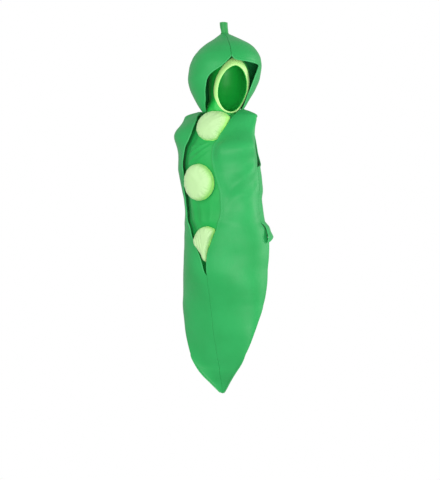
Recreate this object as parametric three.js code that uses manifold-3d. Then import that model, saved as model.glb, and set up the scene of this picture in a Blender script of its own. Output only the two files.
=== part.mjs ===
// A pea pod costume in foam-backed green fabric, held in the shape that it has when it is worn.
// A pod-shaped tunic opens at the front over a chest panel with three stuffed peas, and a separate
// hood with a stalk carries a close inner coif whose face opening has a lime band.
// Millimetres, +Z up, the tunic's front towards -Y and the wearer's left towards +X.
import * as THREE from 'three';
import { mergeVertices } from 'three/addons/utils/BufferGeometryUtils.js';
import Module from 'manifold-3d';

const wasm = await Module();
wasm.setup();

// Driving dimensions. Heights are measured up from the pod's lower tip.
const NECK_HEIGHT = 1150;      // where the tunic hangs on the shoulders, the part's origin
const SHOULDER_TOP = 1164;
const HEM_BACK = 640;          // the short back panel ends at the hips
const FABRIC = 5;              // foam-backed fabric of the tunic and the hood
const LINING = 3;              // stretch fabric of the chest panel and the coif
const CHEST_INSET = 9;         // from the tunic's outer face in to the chest panel
const SEAM_GAP = 0.6;          // each side of a seam
const SEAM_FLOOR = 6;          // a seam's turn stays small where the cloth is narrower than this
const SLIT_TOP = 701;          // the side seams are open below this
const HOOD_TURN = 44;          // the hood looks this far towards the wearer's left, degrees
const HOOD_HEM = 1167;
const HOOD_TOP = 1470;
const FRONT_PEAK = 1360;       // top of the hood's front opening

// The tunic's outer face, [height, middle x, middle y, half width, half depth].
const TUNIC = [
  [0, 0, -14, 6, 1], [15, 0, -22, 18, -6], [46, 0, -38, 44, -16], [74, 0, -52, 69, -20],
  [102, 0, -58, 92, -20], [144, 0, -57, 122, -6], [197, 0, -46, 147, 20], [244, 0, -37, 163, 43],
  [291, 0, -24, 175, 66], [360, 0, -4, 189, 100], [401, 4, 5, 191, 123], [463, 8, 13, 192, 153],
  [507, 9, 16, 191, 163], [560, 11, 17, 194, 159], [612, 10, 20, 195, 150], [638, 8, 17, 192, 145],
  [672, 5, 11, 185, 139], [SLIT_TOP, 0, 0, 175, 134], [746, -2, -4, 170, 130], [791, -3, -8, 169, 131],
  [828, -4, -6, 175, 134], [861, -6, -9, 177, 135], [891, -9, -12, 179, 136],
  [922, -12, -16, 180, 136], [992, -13, -15, 179, 130], [1037, -13, -13, 177, 119],
  [1075, -13, -11, 175, 102], [1100, -12, -9, 173, 86], [1129, -12, -6, 170, 58],
  [1145, -11, -5, 142, 38], [1155, -10, -4, 114, 24], [SHOULDER_TOP, -10, -3, 92, 8],
];
// Below the open side slits the back panel stands further out.
const BACK = [
  [610, 5, 5, 206, 142], [HEM_BACK, 4, 4, 210, 145], [665, 3, 2, 200, 141], [678, 3, 2, 194, 139],
  [SLIT_TOP, 0, 0, 175, 134],
];

// Where the front's two edges run, [height, degrees from the front towards the wearer's left].
const LEFT_EDGE = [
  [0, 0], [481, 0], [503, -0.9], [552, -1.9], [585, -0.9], [621, 2.6], [655, 7.9], [684, 13.8],
  [724, 20.3], [757, 22.1], [799, 22.5], [839, 19.6], [875, 17.3], [921, 15.9], [961, 14.4],
  [996, 14.9], [1021, 18.8], [1054, 22.9], [1083, 27.9], [1114, 30], [1135, 36], [1156, 63],
  [SHOULDER_TOP, 84],
];
const RIGHT_EDGE = [
  [0, 0], [481, 0], [500, -3.5], [535, -8], [571, -14], [607, -22.5], [646, -30.4], [686, -36],
  [723, -43.3], [771, -46.5], [826, -49], [872, -42], [911, -38], [937, -39], [975, -35.3],
  [1003, -31.4], [1034, -24.4], [1065, -21.9], [1098, -23.4], [1125, -27], [1145, -38],
  [1157, -56], [SHOULDER_TOP, -84],
];
const SIDE_EDGE = [[0, 90], [560, 89], [638, 84], [690, 87.2], [SLIT_TOP, 90], [SHOULDER_TOP, 90]];
const BACK_EDGE = [
  [610, 84], [HEM_BACK, 85], [662, 86.7], [678, 91], [692, 92], [SLIT_TOP, 90], [SHOULDER_TOP, 90],
];
const LAPEL_PULL = { height: 1062, spread: 52, angle: -58, width: 30, out: 32 };
const LAPEL_LIFT = { height: 1134, spread: 18, angle: -71, width: 13, up: 10 };
const HEM_CORNER = { angle: 84, width: 19, down: 25 };   // the back's corners hang lower

// Oval holes through the tunic: an arm on each side, and the neck.
const ARMHOLE = { y: 20, z: 1024, halfDepth: 51, halfHeight: 106, sides: 28 };
const NECKLINE = { x: -10, y: 6, halfWidth: 88, halfDepth: 62, floor: 1118, sides: 28 };

// The chest panel follows the tunic's inside from where its two edges meet up to the shoulders.
const CHEST_BOTTOM = 468;
const CHEST_TOP = 1150;
const CHEST_LEFT_EDGE = [[CHEST_BOTTOM, 12], [545, 40], [1060, 46], [1110, 55], [CHEST_TOP, 70]];
const CHEST_RIGHT_EDGE = [
  [CHEST_BOTTOM, -14], [545, -50], [700, -62], [1060, -62], [1110, -66], [CHEST_TOP, -74],
];

// How much further in its lower end lies, behind the narrow part of the opening.
const CHEST_SINK = [[CHEST_BOTTOM, 40], [545, 19], [620, 0], [CHEST_TOP, 0]];

const LAPEL_SINK = { depth: 11, width: 15 };   // and how much at the right edge, with its fade in degrees

// The peas' backs follow the chest, and stand straighter than it near the neck.
const CHEST = [...TUNIC.filter((r) => r[0] <= 1075), [1100, -12, -9, 173, 87], [1145, -12, -6, 165, 63]];

// The hood and the coif, [height, lean towards its own left, half width, half depth].
const HOOD = [
  [HOOD_HEM, -6, 80, 80], [1200, -8, 106, 104], [1242, -6, 133, 126], [1294, 0, 148, 140],
  [1332, 5, 149, 141], [1369, 10, 141, 134], [1400, 14, 122, 116], [1423, 16, 98, 94],
  [1445, 14, 62, 60], [1460, 9, 37, 36], [HOOD_TOP, 4, 22, 22],
];
// Where the hood's front opening runs, [height, degrees from where the hood looks].
const HOOD_LEFT_EDGE = [
  [HOOD_HEM, 61], [1190, 58], [1220, 51], [1240, 49], [1285, 48], [1320, 54], [1335, 56.5],
  [1339.5, 46], [1341, 28], [1343, 12], [1347, 3], [FRONT_PEAK, -3],
];
const HOOD_RIGHT_EDGE = [
  [HOOD_HEM, -74], [1198, -51.5], [1241, -42.3], [1267, -39.1], [1284, -35.1], [1298, -29.1],
  [1314, -19], [1331, -11.5], [FRONT_PEAK, -3],
];
// The seam over the hood runs from the opening's peak to the stalk's right.
const HOOD_SEAM = [[HOOD_HEM, -3], [FRONT_PEAK, -3], [1420, -6], [1450, -12], [HOOD_TOP, -16]];
const COIF = [
  [1104, 2, 49, 44], [1150, -7, 68, 57], [1172, -1, 69, 66], [1200, 11, 72, 84], [1240, 18, 82, 99],
  [1280, 20, 85, 104], [1315, 20, 82, 104], [1343, 20, 73, 99], [1362, 20, 56, 84], [1376, 20, 28, 46],
  [1380, 20, 10, 14],
];
// The hood's hem dips beside the right shoulder, behind it and on the left, [angle, width, down].
const HEM_DIPS = [[-82, 30, 17], [-150, 25, 14], [65, 20, 13]];
const HEM_DIP_FADE = 70;
// The face opening and the outside of its band: ovals with a pointed top.
const FACE = { middle: 1236, halfWidth: 60, halfHeight: 88, point: 4 };
const BAND = { middle: 1247, halfWidth: 74.5, halfHeight: 106, point: 9, thick: 3 };
const COIF_LEAN = 20;          // the face's middle, towards the hood's own left
const FACE_TILT = 0.065;       // and how much further left its top is
const BAND_GAP = 0.4;          // between the coif and its band
const STALK = { base: 1464, top: 1518, baseRadius: 14.8, topRadius: 16.3, x: 2, y: 2 };

// Each pea is a stuffed round: where its middle is, its half sizes, how far it stands out, how high
// its side wall is, and how much its face bends with the chest behind it.
const PEAS = {
  pea_top: { x: 13, z: 1085, halfWidth: 70, halfHeight: 60, out: 44, wall: 14, follow: 0.35 },
  pea_middle: { x: -29, z: 858, halfWidth: 66, halfHeight: 72, out: 47, wall: 16, follow: 0.5 },
  pea_bottom: { x: -3, z: 610, halfWidth: 64, halfHeight: 70, out: 31, wall: 9, follow: 0.6, under: true },
};
const PEA_GAP = 2.5;           // between a pea's back and the chest panel
const PEA_CLEARANCE = 3;       // between a pea and the edges of the opening
const PEA_RINGS = [0.4, 0.7, 0.86, 0.95];

// How fine the faceted cloth is.
const [TUNIC_STEP, FRONT_COLUMNS, BACK_COLUMNS] = [38, 11, 19];
const [CHEST_STEP, CHEST_COLUMNS] = [30, 13];
const [HOOD_STEP, HOOD_COLUMNS] = [24, 15];
const [COIF_STEP, COIF_SIDES, FACE_SIDES] = [30, 28, 40];
const PEA_SIDES = 28;

const cloth = (color, roughness) => new THREE.MeshStandardMaterial({ color, roughness, metalness: 0 });
const podGreen = cloth(0x46b466, 0.45);
const liningGreen = cloth(0x3cb060, 0.5);
const coifGreen = cloth(0x1f8036, 0.7);
const peaLime = cloth(0xc6f0ac, 0.6);
const bandLime = cloth(0xb6f090, 0.55);
const stalkGreen = cloth(0x3aab56, 0.5);

const radians = (degrees) => (degrees * Math.PI) / 180;

// The row of a table at a height: a cubic that never goes past its rows.
function along(table, height) {
  const last = table.length - 1;
  const at = Math.min(Math.max(height, table[0][0]), table[last][0]);
  const k = Math.min(Math.max(table.findIndex((row) => row[0] > at) - 1, 0), last - 1);
  const i = at >= table[last][0] ? last - 1 : k;
  const rise = (r, c) => (table[r + 1][c] - table[r][c]) / (table[r + 1][0] - table[r][0]);
  const slope = (r, c) => {
    const [before, after] = [rise(Math.max(r - 1, 0), c), rise(Math.min(r, last - 1), c)];
    return before * after > 0 ? (2 * before * after) / (before + after) : 0;
  };
  const [low, high] = [table[i], table[i + 1]];
  const step = high[0] - low[0];
  const s = (at - low[0]) / step;
  return low.slice(1).map((value, c) => {
    const [m, n] = [slope(i, c + 1) * step, slope(i + 1, c + 1) * step];
    const [s2, s3] = [s * s, s * s * s];
    return (2 * s3 - 3 * s2 + 1) * value + (s3 - 2 * s2 + s) * m
      + (3 * s2 - 2 * s3) * high[c + 1] + (s3 - s2) * n;
  });
}

// Straight lines between a table's rows, for edges with corners.
function straight(table, height) {
  const k = Math.max(table.findIndex((row) => row[0] >= height), 1);
  const [low, high] = [table[k - 1], table[k]];
  return low[1] + ((high[1] - low[1]) * (height - low[0])) / (high[0] - low[0]);
}

// A soft step from 0 to 1.
function smooth(value) {
  const t = Math.min(Math.max(value, 0), 1);
  return t * t * (3 - 2 * t);
}

// A point of the tunic's outer face, moved in by inset.
function onTunic(table, angle, height, inset = 0) {
  const [x, y, wide, deep] = along(table, height);
  const turn = radians(angle);
  return new THREE.Vector3(
    x + (wide - inset) * Math.sin(turn), y - (deep - inset) * Math.cos(turn), height);
}

// The wearer's right front is held out at the lapel, by a smooth bump, and lifted at the shoulder.
function onRightFront(angle, height) {
  const point = onTunic(TUNIC, angle, height);
  const along2 = ((height - LAPEL_PULL.height) / LAPEL_PULL.spread) ** 2;
  const round2 = ((angle - LAPEL_PULL.angle) / LAPEL_PULL.width) ** 2;
  const out = LAPEL_PULL.out * Math.exp(-along2 - round2);
  const outward = new THREE.Vector3(Math.sin(radians(angle)), -Math.cos(radians(angle)), 0);
  const upward = ((height - LAPEL_LIFT.height) / LAPEL_LIFT.spread) ** 2;
  const sideways = ((angle - LAPEL_LIFT.angle) / LAPEL_LIFT.width) ** 2;
  const lift = LAPEL_LIFT.up * Math.exp(-upward - sideways);
  return point.addScaledVector(outward, out).setZ(height + lift);
}

// The back, whose two lower corners hang below the rest of its hem.
function onBack(angle, height) {
  const { angle: corner, width, down } = HEM_CORNER;
  const low = 1 - smooth((height - HEM_BACK) / (SLIT_TOP - HEM_BACK));
  const near = Math.min(angle, 360 - angle) - corner;
  const z = height - down * low * Math.exp(-((near / width) ** 2));
  return onTunic(z < SLIT_TOP ? BACK : TUNIC, angle, z);
}

// A point of the hood or the coif, in the hood's own turn.
function onHood(table, angle, height, inset = 0) {
  const [lean, wide, deep] = along(table, height);
  const [turn, face] = [radians(angle), radians(HOOD_TURN)];
  const side = lean + (wide - inset) * Math.sin(turn);
  const front = (deep - inset) * Math.cos(turn);
  return new THREE.Vector3(
    side * Math.cos(face) + front * Math.sin(face),
    side * Math.sin(face) - front * Math.cos(face), height);
}

function geometryFrom(positions, indices) {
  const geometry = new THREE.BufferGeometry();
  geometry.setAttribute('position', new THREE.Float32BufferAttribute(positions, 3));
  geometry.setIndex(indices);
  return geometry;
}

// Which way a line of points runs at one of them; at its ends the bend goes on.
function directionAt(line, k) {
  const last = line.length - 1;
  if (k > 0 && k < last) return line[k + 1].clone().sub(line[k - 1]);
  const [end, near, far] = (k === 0 ? [0, 1, 2] : [last, last - 1, last - 2]).map((n) => line[n]);
  const out = near.clone().multiplyScalar(4).sub(far).addScaledVector(end, -3);
  return k === 0 ? out : out.negate();
}

// A sheet of cloth from a grid of points on its outer face. Rows run up, columns towards the
// wearer's left as seen from the front, and the thickness goes in, from depth behind the grid.
function sheet(grid, thickness, depth = 0) {
  const [rows, columns] = [grid.length, grid[0].length];
  const normals = grid.flat().map((_, n) => {
    const [i, j] = [Math.floor(n / columns), n % columns];
    const across = directionAt(grid[i], j);
    const up = directionAt(grid.map((row) => row[j]), i);
    return across.cross(up).normalize();
  });
  const behind = (distance) => grid.flat().map((point, n) => (
    point.clone().addScaledVector(normals[n], -distance)));
  const [outer, inner] = [behind(depth), behind(depth + thickness)];
  const indices = [];
  const quad = (a, b, c, d) => indices.push(a, b, c, a, c, d);
  const back = rows * columns;
  for (let i = 0; i < rows - 1; i += 1) {
    for (let j = 0; j < columns - 1; j += 1) {
      const a = i * columns + j;
      quad(a, a + 1, a + 1 + columns, a + columns);
      quad(back + a, back + a + columns, back + a + 1 + columns, back + a + 1);
    }
  }
  for (let j = 0; j < columns - 1; j += 1) {
    const top = (rows - 1) * columns + j;
    quad(j, back + j, back + j + 1, j + 1);
    quad(top + 1, back + top + 1, back + top, top);
  }
  for (let i = 0; i < rows - 1; i += 1) {
    const [left, right] = [i * columns, i * columns + columns - 1];
    quad(left + columns, back + left + columns, back + left, left);
    quad(right, back + right, back + right + columns, right + columns);
  }
  return geometryFrom([...outer, ...inner].flatMap((p) => p.toArray()), indices);
}

// Heights from low to high, about a step apart, that include every given stop.
function heights(stops, step) {
  const list = [stops[0]];
  for (let k = 1; k < stops.length; k += 1) {
    const count = Math.max(1, Math.round((stops[k] - stops[k - 1]) / step));
    for (let n = 1; n <= count; n += 1) {
      list.push(stops[k - 1] + ((stops[k] - stops[k - 1]) * n) / count);
    }
  }
  return list;
}

// A grid whose rows run from one edge's angle to the other's at each height.
function gridBetween(levels, from, to, columns, point) {
  return levels.map((height) => {
    const [start, end] = [from(height), to(height)];
    return Array.from({ length: columns }, (_, n) => point(
      start + ((end - start) * n) / (columns - 1), height));
  });
}

function toManifold(geometry) {
  const bare = new THREE.BufferGeometry();
  bare.setAttribute('position', geometry.getAttribute('position').clone());
  bare.setIndex(geometry.getIndex() ? geometry.getIndex().clone() : null);
  const merged = mergeVertices(bare, 1e-4);
  return new wasm.Manifold(new wasm.Mesh({
    numProp: 3,
    vertProperties: new Float32Array(merged.getAttribute('position').array),
    triVerts: new Uint32Array(merged.getIndex().array),
  }));
}

function fromManifold(solid) {
  const { vertProperties, triVerts } = solid.getMesh();
  return geometryFrom(Array.from(vertProperties), Array.from(triVerts));
}

function minus(geometry, ...cutters) {
  return fromManifold(cutters.reduce((solid, cutter) => solid.subtract(cutter), toManifold(geometry)));
}

// A seam's gap as degrees of turn where the cloth is this wide.
function seamTurn(table, height, column) {
  return (SEAM_GAP / Math.max(along(table, height)[column], SEAM_FLOOR) / Math.PI) * 180;
}

// A closed solid from stations: rings joined up the sides and closed flat at both ends.
function ringSolid(levels, sides, point) {
  const positions = [];
  levels.forEach((height) => {
    for (let n = 0; n < sides; n += 1) positions.push(...point((360 * n) / sides, height).toArray());
  });
  const indices = [];
  for (let i = 0; i < levels.length - 1; i += 1) {
    for (let n = 0; n < sides; n += 1) {
      const [a, b] = [i * sides + n, i * sides + ((n + 1) % sides)];
      indices.push(a, b, b + sides, a, b + sides, a + sides);
    }
  }
  const top = (levels.length - 1) * sides;
  for (let n = 1; n < sides - 1; n += 1) {
    indices.push(0, n + 1, n);
    indices.push(top, top + n, top + n + 1);
  }
  return geometryFrom(positions, indices);
}

// An oval column through the tunic's side, for both arms.
function armColumn() {
  const column = new THREE.CylinderGeometry(1, 1, 600, ARMHOLE.sides).rotateZ(Math.PI / 2);
  column.scale(1, ARMHOLE.halfDepth, ARMHOLE.halfHeight);
  return toManifold(column.translate(0, ARMHOLE.y, ARMHOLE.z));
}

// An oval column down to the back of the neckline.
function neckColumn() {
  const tall = 2 * (SHOULDER_TOP - NECKLINE.floor);
  const column = new THREE.CylinderGeometry(1, 1, tall, NECKLINE.sides).rotateX(Math.PI / 2);
  column.scale(NECKLINE.halfWidth, NECKLINE.halfDepth, 1);
  return toManifold(column.translate(NECKLINE.x, NECKLINE.y, NECKLINE.floor + tall / 2));
}

// The front and the back share their levels above the slits, so that their side seams match.
const CLOSED_STOPS = [SLIT_TOP, 921, 1054, 1129, 1146, SHOULDER_TOP - 5];

function frontLevels() {
  return heights([0, 46, 144, 291, 481, 620, ...CLOSED_STOPS], TUNIC_STEP);
}

// The wearer's left half of the front, from its front edge round to the side.
function leftFront() {
  const grid = gridBetween(
    frontLevels(), (z) => along(LEFT_EDGE, z)[0] + seamTurn(TUNIC, z, 2),
    (z) => straight(SIDE_EDGE, z) - seamTurn(TUNIC, z, 3), FRONT_COLUMNS,
    (angle, z) => onTunic(TUNIC, angle, z));
  return minus(sheet(grid, FABRIC), armColumn());
}

function rightFront() {
  const grid = gridBetween(
    frontLevels(), (z) => seamTurn(TUNIC, z, 3) - straight(SIDE_EDGE, z),
    (z) => along(RIGHT_EDGE, z)[0] - seamTurn(TUNIC, z, 2), FRONT_COLUMNS, onRightFront);
  return minus(sheet(grid, FABRIC), armColumn());
}

function backPanel() {
  const levels = heights([HEM_BACK, ...CLOSED_STOPS], TUNIC_STEP);
  const grid = gridBetween(
    levels, (z) => straight(BACK_EDGE, z) + seamTurn(TUNIC, z, 3),
    (z) => 360 - straight(BACK_EDGE, z) - seamTurn(TUNIC, z, 3),
    BACK_COLUMNS, onBack);
  return minus(sheet(grid, FABRIC), armColumn(), neckColumn());
}

// The tunic's shape where the chest panel is, which lies further in at its lower end and at the right.
function onChestCloth(angle, height) {
  const fromEdge = angle - along(RIGHT_EDGE, height)[0];
  const sink = LAPEL_SINK.depth * (1 - smooth(fromEdge / LAPEL_SINK.width));
  return onTunic(TUNIC, angle, height, straight(CHEST_SINK, height) + sink);
}

function chestPanel() {
  const grid = gridBetween(
    heights([CHEST_BOTTOM, 545, 620, 1060, 1110, CHEST_TOP], CHEST_STEP),
    (z) => straight(CHEST_RIGHT_EDGE, z), (z) => straight(CHEST_LEFT_EDGE, z),
    CHEST_COLUMNS, onChestCloth);
  return minus(sheet(grid, LINING, CHEST_INSET), neckColumn());
}

// A point over the chest at a width and a height, moved out by out.
function onChest(x, height, out) {
  const [middle, , wide] = along(CHEST, height);
  const angle = (Math.asin((x - middle) / (wide - CHEST_INSET)) * 180) / Math.PI;
  return onTunic(CHEST, angle, height, CHEST_INSET + straight(CHEST_SINK, height) - out);
}

// How far a pea reaches in one direction before its own outline or an edge of the opening. Its
// puffed part lies over the right edge, so only its foot is held by that one.
function peaReach({ x, z, halfWidth, halfHeight }, turn, foot) {
  const [acrossStep, upStep] = [Math.cos(turn) * halfWidth, Math.sin(turn) * halfHeight];
  const clear = (share) => {
    const height = z + share * upStep;
    const low = onTunic(TUNIC, along(RIGHT_EDGE, height)[0], height).x + PEA_CLEARANCE;
    const high = onTunic(TUNIC, along(LEFT_EDGE, height)[0], height).x - PEA_CLEARANCE;
    return (!foot || x + share * acrossStep > low) && x + share * acrossStep < high;
  };
  let reach = 1;
  while (reach > 0.2 && !clear(reach)) reach -= 0.005;
  return reach;
}

// A stuffed pea: a puffed face and a side wall on a back that follows the chest panel. rings holds
// [share of its reach, height of the face over its wall, whether it is the foot or the back].
function pea(size) {
  const positions = [];
  const middle = onChest(size.x, size.z, PEA_GAP);
  const put = (share, turn, puff, back) => {
    const reach = share * peaReach(size, turn, back || size.under);
    const x = size.x + reach * size.halfWidth * Math.cos(turn);
    const z = size.z + reach * size.halfHeight * Math.sin(turn);
    const point = onChest(x, z, PEA_GAP);
    if (!back) {
      const face = size.wall + (size.out - size.wall) * puff;
      point.y = middle.y + size.follow * (point.y - middle.y) - face;
    }
    positions.push(...point.toArray());
  };
  const puff = (share) => (1 - share ** 2.4) ** 0.5;
  const rings = [...PEA_RINGS.map((s) => [s, puff(s), false]), [1, 0, false], [1, 0, true], [0.6, 0, true]];
  put(0, 0, 1, false);
  rings.forEach(([share, height, back]) => {
    for (let n = 0; n < PEA_SIDES; n += 1) put(share, (2 * Math.PI * n) / PEA_SIDES, height, back);
  });
  put(0, 0, 0, true);
  const last = positions.length / 3 - 1;
  const indices = [];
  for (let n = 0; n < PEA_SIDES; n += 1) {
    const next = (n + 1) % PEA_SIDES;
    indices.push(0, 1 + n, 1 + next);
    for (let r = 0; r < rings.length - 1; r += 1) {
      const [a, b] = [1 + r * PEA_SIDES + n, 1 + r * PEA_SIDES + next];
      indices.push(a, a + PEA_SIDES, b + PEA_SIDES, a, b + PEA_SIDES, b);
    }
    const back = 1 + (rings.length - 1) * PEA_SIDES;
    indices.push(back + n, last, back + next);
  }
  return geometryFrom(positions, indices);
}

// A point of the hood, whose hem dips in places.
function onHoodCloth(angle, height) {
  const low = 1 - smooth((height - HOOD_HEM) / HEM_DIP_FADE);
  const down = HEM_DIPS.map(([middle, width, most]) => most * Math.exp(-(((angle - middle) / width) ** 2)));
  return onHood(HOOD, angle, height).setZ(height - low * down.reduce((sum, value) => sum + value, 0));
}

// What the front opening takes away: its outline, pushed forwards from the hood's middle.
function openingColumn() {
  const outline = [...HOOD_RIGHT_EDGE, ...HOOD_LEFT_EDGE.toReversed()]
    .filter(([height]) => height <= FRONT_PEAK)
    .map(([height, angle]) => {
      const [lean, wide] = along(HOOD, height);
      const low = height === HOOD_HEM ? 30 : 0;
      return new THREE.Vector2(lean + wide * Math.sin(radians(angle)), height - low);
    });
  const geometry = new THREE.ExtrudeGeometry(new THREE.Shape(outline), { depth: 200, bevelEnabled: false });
  return toManifold(geometry.rotateX(Math.PI / 2).rotateZ(radians(HOOD_TURN)));
}

// Half of the hood, from its front seam and opening to the seam down the back.
function hoodHalf(left) {
  const levels = heights([HOOD_HEM, 1294, FRONT_PEAK, 1423, HOOD_TOP], HOOD_STEP);
  const front = (z) => straight(HOOD_SEAM, z);
  const gap = (z) => seamTurn(HOOD, z, 1);
  const grid = left
    ? gridBetween(levels, (z) => front(z) + gap(z), (z) => 180 - gap(z), HOOD_COLUMNS, onHoodCloth)
    : gridBetween(levels, (z) => gap(z) - 180, (z) => front(z) - gap(z), HOOD_COLUMNS, onHoodCloth);
  return minus(sheet(grid, FABRIC), openingColumn());
}

// A column towards the hood's front, for the face opening and the band round it.
function faceColumn({ middle, halfWidth, halfHeight, point }) {
  const column = new THREE.CylinderGeometry(1, 1, 200, FACE_SIDES);
  const place = column.getAttribute('position');
  for (let n = 0; n < place.count; n += 1) {
    const [x, z] = [place.getX(n), place.getZ(n)];
    const peak = z > 0 ? point * (1 - Math.abs(x)) ** 2 : 0;
    const high = z * halfHeight + peak;
    place.setXYZ(n, x * halfWidth + FACE_TILT * high, place.getY(n), high);
  }
  column.translate(COIF_LEAN, -100, middle);
  return toManifold(column.rotateZ(radians(HOOD_TURN)));
}

// The coif's shape moved out by out, as a filled solid, with its bottom dropped by drop.
function coifBody(out, drop) {
  const levels = heights([COIF[0][0], 1200, 1315, COIF[COIF.length - 1][0]], COIF_STEP);
  const body = ringSolid(levels, COIF_SIDES, (angle, z) => (
    onHood(COIF, angle, z, -out).setZ(z + out - (z === levels[0] ? drop : 0))));
  return toManifold(body);
}

function coifShell(inner, outer) {
  return coifBody(outer, outer).subtract(coifBody(inner, 5));
}

function coif() {
  return fromManifold(coifShell(-LINING, 0).subtract(faceColumn(FACE)));
}

function faceBand() {
  const ring = faceColumn(BAND).subtract(faceColumn(FACE));
  return fromManifold(coifShell(BAND_GAP, BAND_GAP + BAND.thick).intersect(ring));
}

function stalk() {
  const { base, top, baseRadius, topRadius } = STALK;
  const rim = 3;
  const profile = [
    [0, base], [baseRadius, base], [baseRadius, HOOD_TOP + 3], [topRadius, top - rim],
    [topRadius - rim, top], [0, top],
  ].map(([r, z]) => new THREE.Vector2(r, z));
  const solid = new THREE.LatheGeometry(profile, 20).rotateX(Math.PI / 2);
  return solid.translate(STALK.x, STALK.y, 0);
}

const costume = new THREE.Group();
costume.name = 'pea_pod_costume';
costume.position.z = -NECK_HEIGHT;

function add(group, name, geometry, material) {
  const mesh = new THREE.Mesh(geometry, material);
  mesh.name = name;
  group.add(mesh);
}

const tunic = new THREE.Group();
add(tunic, 'tunic_front_left', leftFront(), podGreen);
add(tunic, 'tunic_front_right', rightFront(), podGreen);
add(tunic, 'tunic_back', backPanel(), podGreen);
add(tunic, 'chest_panel', chestPanel(), liningGreen);
Object.entries(PEAS).forEach(([name, size]) => add(tunic, name, pea(size), peaLime));

const headpiece = new THREE.Group();
add(headpiece, 'hood_left', hoodHalf(true), podGreen);
add(headpiece, 'hood_right', hoodHalf(false), podGreen);
add(headpiece, 'hood_stalk', stalk(), stalkGreen);
add(headpiece, 'coif', coif(), coifGreen);
add(headpiece, 'face_band', faceBand(), bandLime);

costume.add(tunic, headpiece);
export default costume;
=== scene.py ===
"""A pea pod costume as worn: a foam-backed pod tunic with three stuffed peas, and a hood with a stalk.

Surfaces are worked out in millimetres above the pod's lower tip, as whole arrays, and put into the
frame's metres when a mesh is made. The tunic's front faces -Y and its own left is +X.
"""
import math

import bpy
import numpy as np
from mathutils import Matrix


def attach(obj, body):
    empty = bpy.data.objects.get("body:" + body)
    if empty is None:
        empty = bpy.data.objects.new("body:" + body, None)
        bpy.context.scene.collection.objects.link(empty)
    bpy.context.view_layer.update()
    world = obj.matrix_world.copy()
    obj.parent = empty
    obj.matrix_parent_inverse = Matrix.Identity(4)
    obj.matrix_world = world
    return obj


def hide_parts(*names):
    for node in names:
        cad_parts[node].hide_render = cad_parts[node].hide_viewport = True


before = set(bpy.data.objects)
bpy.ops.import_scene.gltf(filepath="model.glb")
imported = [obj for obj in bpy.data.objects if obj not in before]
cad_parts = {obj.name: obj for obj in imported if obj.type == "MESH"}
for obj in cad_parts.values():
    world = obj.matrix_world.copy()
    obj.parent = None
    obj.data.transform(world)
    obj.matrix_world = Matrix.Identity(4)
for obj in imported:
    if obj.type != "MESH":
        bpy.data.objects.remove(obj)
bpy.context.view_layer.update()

# Driving dimensions, in millimetres and degrees.
NECK_HEIGHT = 1150      # the frame's origin, between the shoulders
SHOULDER_TOP = 1159
HEM_BACK = 640
SLIT_TOP = 701          # the side seams are open below this
VEE = 481               # the front's two edges meet below this
FABRIC = 5              # foam-backed cloth
LINING = 3              # stretch knit
CHEST_INSET = 9         # how far inside the front the chest panel lies
PEA_GAP = 2.5           # between the panel and a pea's back
PEA_CLEARANCE = 3       # between a pea and the opening's edges
SEAM_GAP = 0.35         # half of the gap between two panels
SEWN_GAP = 0.05         # and where the front's two halves are sewn together
SIDE_GAP = 0.15         # and at the sides, in degrees round the body
COIF_GAP = 0.25         # and at the coif's seam, in degrees
STITCH_IN = 9           # a hem's stitches, in from its edge
STITCH_LENGTH = 3.2
EDGE_CALM = 40          # waves fade out this near to an edge
NO_HEM = 99             # stands for a stitched edge that is nowhere near
PER_DEGREE = 2.6        # about how far a degree is round the body
SHOULDER_BACK = 90.2    # where the back's shoulders start, in degrees
BACK_GIRTH = 560
BACK_TALL = 520
COIF_GIRTH = 460
COIF_SINK = 0.3         # how far the coif lies inside its own outline, so that the band covers it
BAND_TRIM = 0.6         # how far the band keeps inside its two ovals
HOOD_TURN = 44
HOOD_HEM = 1167
HOOD_TOP = 1470
FRONT_PEAK = 1360
ARM_HOLE = (918, 1130)  # how low and how high an armhole reaches
ARM_OVAL = dict(height=1024, y=20, deep=51, tall=106)
ARM_HEM = (947, 1110)   # where the front's part of it is hemmed
ARM_BACK = 2            # how far that part keeps behind the oval, in degrees

# The tunic's outer face: height, middle x, middle y, half width, half depth.
TUNIC = [
    (0, 0, -14, 6, 1), (15, 0, -22, 18, -6), (46, 0, -38, 44, -16), (74, 0, -52, 69, -20),
    (102, 0, -58, 92, -20), (144, 0, -57, 122, -6), (197, 0, -46, 147, 20), (244, 0, -37, 163, 43),
    (291, 0, -24, 175, 66), (360, 0, -4, 189, 100), (401, 4, 5, 191, 123), (463, 8, 13, 192, 153),
    (507, 9, 16, 191, 163), (560, 11, 17, 194, 159), (612, 10, 20, 195, 150), (638, 8, 17, 192, 145),
    (672, 5, 11, 185, 139), (701, 0, 0, 175, 134), (746, -2, -4, 170, 130), (791, -3, -8, 169, 131),
    (828, -4, -6, 175, 134), (861, -6, -9, 177, 135), (891, -9, -12, 179, 136),
    (922, -12, -16, 180, 136), (992, -13, -15, 179, 130), (1037, -13, -13, 177, 119),
    (1075, -13, -11, 175, 102), (1100, -12, -9, 173, 86), (1129, -12, -6, 170, 58),
    (1145, -11, -5, 142, 38), (1155, -10, -4, 114, 24), (1164, -10, -3, 92, 8),
]
BACK = [
    (610, 11, 5, 200, 142), (HEM_BACK, 10, 4, 204, 145), (665, 7, 2, 196, 141), (678, 6, 2, 191, 139),
    (SLIT_TOP, 0, 0, 175, 134),
]
CHEST = [row for row in TUNIC if row[0] <= 1075] + [(1100, -12, -9, 173, 87), (1145, -12, -6, 165, 63)]

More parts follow.
